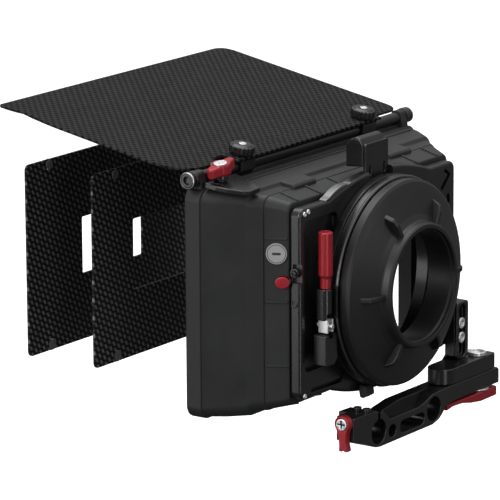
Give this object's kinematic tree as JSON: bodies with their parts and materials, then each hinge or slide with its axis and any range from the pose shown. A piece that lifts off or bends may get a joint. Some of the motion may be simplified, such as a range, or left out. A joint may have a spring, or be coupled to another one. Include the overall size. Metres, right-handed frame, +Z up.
{
  "type": "cinema matte box with swing-away rod support",
  "caption": "Cinema matte box: flared hood with tilting top flag, lens-ring stage with filter trays and lift-out hard mattes on a swing-away arm for paired 15 mm rods.",
  "frame": {"origin": "midway between the two 15 mm rod bores, in the middle of the rod arm's depth", "axes": "+X to the operator's right, +Y forward along the lens axis towards the subject, +Z up"},
  "size_m": [0.2321, 0.2309, 0.1962],
  "materials": {
    "anodised": "black anodised, satin",
    "black_steel": "black oxide",
    "red_anodised": "crimson anodised, satin gloss",
    "bright_steel": "bright machined",
    "moulded_plastic": "fine sparked texture",
    "carbon_laminate": "woven carbon fibre, satin clear coat",
    "black_rubber": "smooth matt",
    "badge_grey": "satin grey"
  },
  "bodies": {
    "arm": {"rod_arm": "anodised", "jaw_screw_rear": "black_steel", "jaw_screw_front": "black_steel", "pivot_bolt": "bright_steel", "swing_lock_washer": "bright_steel"},
    "rod_lever": {"rod_clamp_lever": "red_anodised", "rod_clamp_screw": "bright_steel"},
    "swing_lever": {"swing_lock_lever": "red_anodised"},
    "swing": {"swing_block": "anodised", "height_post": "anodised"},
    "stage": {"stage_frame": "anodised", "clamp_ring": "anodised", "arch_strip": "bright_steel", "top_latch_housing": "anodised", "corner_screw_top_outer": "bright_steel", "corner_screw_top_inner": "bright_steel", "corner_screw_bottom": "bright_steel", "cheek_screw": "black_steel", "ring_lock_base": "anodised", "ring_lock_screw": "bright_steel", "ring_lock_index_plate": "anodised", "height_screw_upper": "bright_steel", "height_screw_lower": "bright_steel"},
    "ring_lever": {"ring_lock_lever": "red_anodised", "ring_lock_barrel": "anodised", "ring_lock_pivot": "bright_steel"},
    "top_latch": {"top_latch_plate": "anodised"},
    "bottom_latch": {"bottom_latch": "moulded_plastic"},
    "donut": {"donut_ring": "black_rubber"},
    "tray_rear": {"filter_tray_rear": "moulded_plastic"},
    "tray_front": {"filter_tray_front": "moulded_plastic"},
    "hood": {"hood_shell": "moulded_plastic", "side_badge": "badge_grey", "hinge_bar": "anodised", "hinge_collar_left": "bright_steel", "hinge_collar_right": "bright_steel", "hinge_end_cap_left": "anodised", "hinge_end_cap_right": "anodised", "tilt_lock_plate": "anodised"},
    "side_release": {"side_button": "red_anodised", "button_spring": "bright_steel"},
    "tilt_knob": {"tilt_lock_knob": "red_anodised", "tilt_lock_screw": "bright_steel"},
    "flag": {"top_flag": "carbon_laminate", "flag_clamp_left": "anodised", "flag_clamp_right": "anodised"},
    "flag_knob_l": {"flag_knob_left": "anodised", "flag_knob_disc_left": "bright_steel"},
    "flag_knob_r": {"flag_knob_right": "anodised", "flag_knob_disc_right": "bright_steel"},
    "wide_matte": {"matte_wide": "carbon_laminate", "matte_wide_magnet_top_left": "bright_steel", "matte_wide_magnet_top_right": "bright_steel", "matte_wide_magnet_bottom_left": "bright_steel", "matte_wide_magnet_bottom_right": "bright_steel"},
    "tele_matte": {"matte_tele": "carbon_laminate", "matte_tele_magnet_top_left": "bright_steel", "matte_tele_magnet_top_right": "bright_steel", "matte_tele_magnet_bottom_left": "bright_steel", "matte_tele_magnet_bottom_right": "bright_steel"}
  },
  "joints": [
    {"name": "rod_clamp_turn", "type": "hinge", "parent": "arm", "child": "rod_lever", "pos_m": [-0.059, -0.0038, 0.011], "axis": [-1, 0, 0], "range_deg": [0, 100]},
    {"name": "swing_lock_turn", "type": "hinge", "parent": "arm", "child": "swing_lever", "pos_m": [0.088, -0.0026, -0.004], "axis": [0, 0, 1], "range_deg": [0, 75]},
    {"name": "swing_away", "type": "hinge", "parent": "arm", "child": "swing", "pos_m": [0.088, -0.0026, 0.016], "axis": [0, 0, -1], "range_deg": [0, 100]},
    {"name": "height_slide", "type": "slide", "parent": "swing", "child": "stage", "axis": [0, 0, 1], "range_m": [-0.004, 0.008]},
    {"name": "ring_lock_turn", "type": "hinge", "parent": "stage", "child": "ring_lever", "pos_m": [-0.0693, 0.0024, 0.0714], "axis": [0, -1, 0], "range_deg": [0, 90]},
    {"name": "top_latch_tilt", "type": "hinge", "parent": "stage", "child": "top_latch", "pos_m": [0, 0.0134, 0.1463], "axis": [1, 0, 0], "range_deg": [0, 12], "stiffness_Nm_per_rad": 0.05, "springref_deg": -11.46},
    {"name": "bottom_latch_tilt", "type": "hinge", "parent": "stage", "child": "bottom_latch", "pos_m": [-0.0207, 0.0066, 0.024], "axis": [-1, 0, 0], "range_deg": [0, 20], "stiffness_Nm_per_rad": 0.03, "springref_deg": -11.46},
    {"name": "donut_pull", "type": "slide", "parent": "stage", "child": "donut", "axis": [0, -1, 0], "range_m": [0, 0.04]},
    {"name": "tray_rear_pull", "type": "slide", "parent": "stage", "child": "tray_rear", "axis": [0, 1, 0], "range_m": [0, 0.02]},
    {"name": "tray_front_pull", "type": "slide", "parent": "tray_rear", "child": "tray_front", "axis": [0, 1, 0], "range_m": [0, 0.02]},
    {"name": "hood_pull", "type": "slide", "parent": "stage", "child": "hood", "axis": [0, 1, 0], "range_m": [0, 0.06]},
    {"name": "side_button_push", "type": "slide", "parent": "hood", "child": "side_release", "axis": [0.9, 0.4358, 0], "range_m": [0, 0.002], "stiffness_N_per_m": 300, "springref_m": -0.002},
    {"name": "tilt_lock_turn", "type": "hinge", "parent": "hood", "child": "tilt_knob", "pos_m": [-0.098, 0.0549, 0.158], "axis": [0, 0, 1], "range_deg": [-22, 22]},
    {"name": "flag_tilt", "type": "hinge", "parent": "hood", "child": "flag", "pos_m": [0, 0.0649, 0.158], "axis": [1, 0, 0], "range_deg": [-12, 70]},
    {"name": "flag_knob_turn_l", "type": "hinge", "parent": "flag", "child": "flag_knob_l", "pos_m": [-0.0637, 0.06497, 0.16616], "axis": [0, -0.1874, 0.9823], "continuous": true},
    {"name": "flag_knob_turn_r", "type": "hinge", "parent": "flag", "child": "flag_knob_r", "pos_m": [0.0637, 0.06497, 0.16616], "axis": [0, -0.1874, 0.9823], "continuous": true},
    {"name": "wide_matte_seat", "type": "slide", "parent": "hood", "child": "wide_matte", "axis": [0, 1, 0], "range_m": [-0.127, 0]},
    {"name": "tele_matte_seat", "type": "slide", "parent": "wide_matte", "child": "tele_matte", "axis": [0, 1, 0], "range_m": [-0.0475, 0]}
  ]
}
